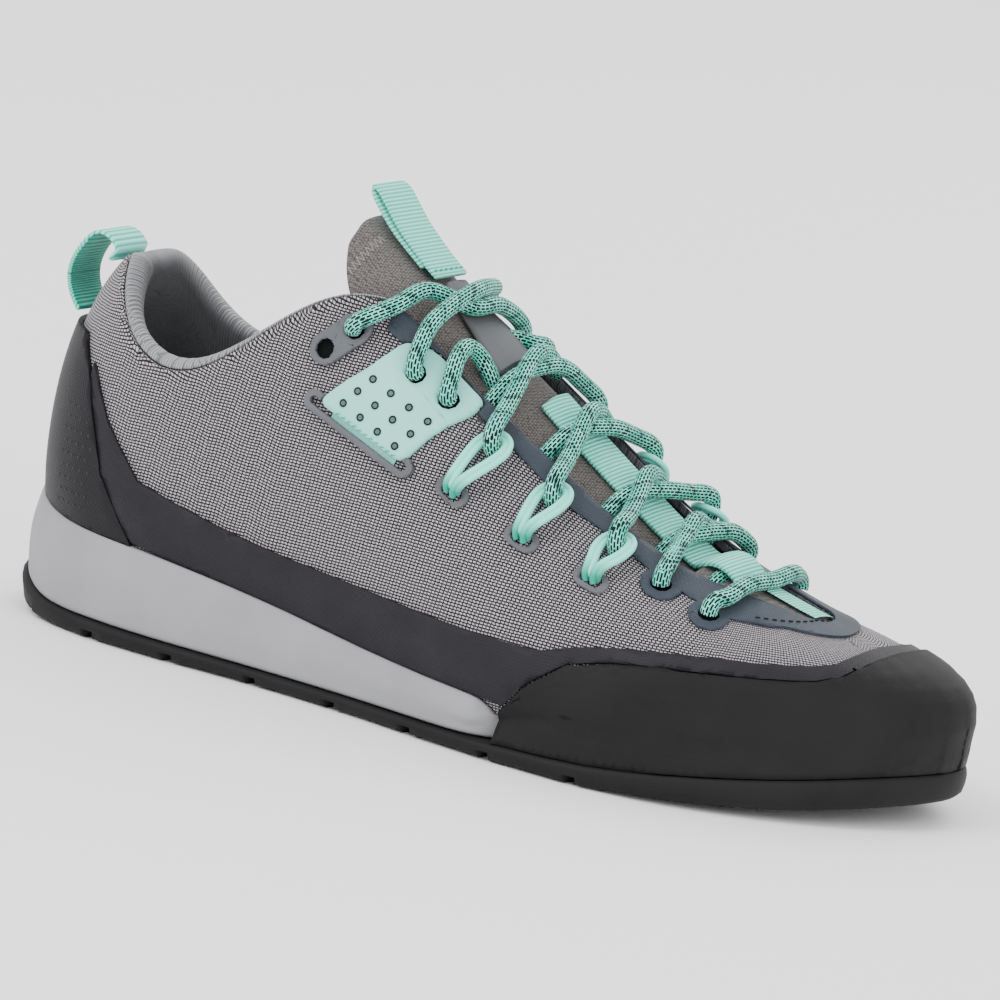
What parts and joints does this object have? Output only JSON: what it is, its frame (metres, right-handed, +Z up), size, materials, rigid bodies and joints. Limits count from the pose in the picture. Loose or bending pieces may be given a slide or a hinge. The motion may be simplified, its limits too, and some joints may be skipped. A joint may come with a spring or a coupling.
{
  "type": "approach shoe",
  "caption": "Low approach shoe for the right foot: knitted upper, rubber toe rand, cupped foam midsole, padded collar and tongue, cord loops and a round lace that ends at the top eyelets.",
  "frame": {"origin": "on the ground under the middle of the heel", "axes": "+X to the toe, +Y to the inner side of the foot, +Z up"},
  "size_m": [0.2606, 0.0936, 0.126],
  "materials": {
    "knit": "matte knit with an open mesh",
    "dark_film": "matte",
    "rubber": "matte",
    "foam": "matte, fine grain",
    "insole_cloth": "matte",
    "stay_film": "matte",
    "lining": "matte, finely ribbed",
    "tongue_cloth": "matte",
    "panel_film": "satin",
    "grey_plate": "satin",
    "webbing": "ribbed webbing",
    "lace": "round braid",
    "keeper_plate": "matte"
  },
  "bodies": {
    "root": {"upper": "knit", "outsole": "rubber", "midsole": "foam", "insole": "insole_cloth", "toe_rand": "rubber", "heel_counter": "dark_film", "side_film": "dark_film", "collar_lining": "lining", "tongue": "tongue_cloth", "panel_outer": "panel_film", "slot_frame_outer": "grey_plate", "eyelet_plate_outer": "grey_plate", "panel_inner": "panel_film", "slot_frame_inner": "grey_plate", "eyelet_plate_inner": "grey_plate", "port_outer_1": "grey_plate", "cord_loop_outer_1": "webbing", "port_outer_2": "grey_plate", "cord_loop_outer_2": "webbing", "port_outer_3": "grey_plate", "cord_loop_outer_3": "webbing", "port_inner_1": "grey_plate", "cord_loop_inner_1": "webbing", "port_inner_2": "grey_plate", "cord_loop_inner_2": "webbing", "port_inner_3": "grey_plate", "cord_loop_inner_3": "webbing", "eyestay": "stay_film", "tongue_webbing": "webbing", "lace_keeper": "keeper_plate", "lace_crossing_2": "lace", "lace_crossing_3": "lace", "lace_crossing_4": "lace", "lace_crossing_5": "lace", "lace_crossing_1": "lace", "lace_bar": "lace", "lace_keeper_outer": "lace", "lace_keeper_inner": "lace", "lace_crossing_7": "lace", "tongue_loop": "webbing", "heel_loop": "webbing"}
  },
  "joints": []
}
